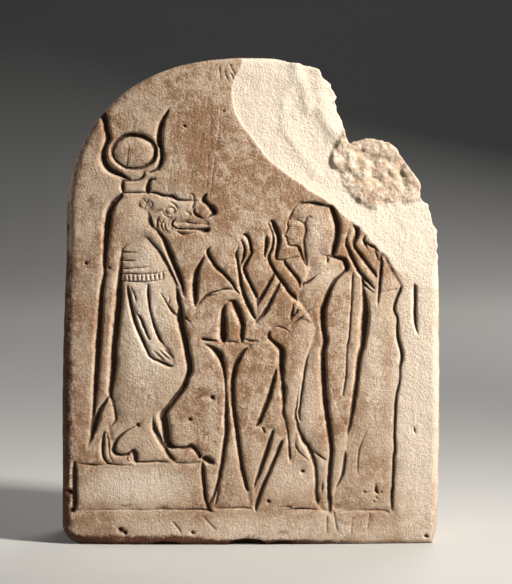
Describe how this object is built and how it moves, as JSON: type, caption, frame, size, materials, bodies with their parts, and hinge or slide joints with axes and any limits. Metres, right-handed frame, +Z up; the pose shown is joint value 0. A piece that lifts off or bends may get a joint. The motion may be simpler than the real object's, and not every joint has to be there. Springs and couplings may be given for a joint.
{
  "type": "carved stone stele",
  "caption": "Round-topped stone stele with a sunk relief of a standing goddess, an offering stand and worshippers; its upper right corner is broken away.",
  "frame": {"origin": "middle of the bounding box at the underside that the stele stands on", "axes": "+Z up, the carved face looks towards -Y, +X to the viewer's right of the carved face"},
  "size_m": [0.1526, 0.045, 0.1957],
  "materials": {
    "limestone": "matt, hand-carved, worn, with ochre patina"
  },
  "bodies": {
    "root": {"stele": "limestone"}
  },
  "joints": []
}
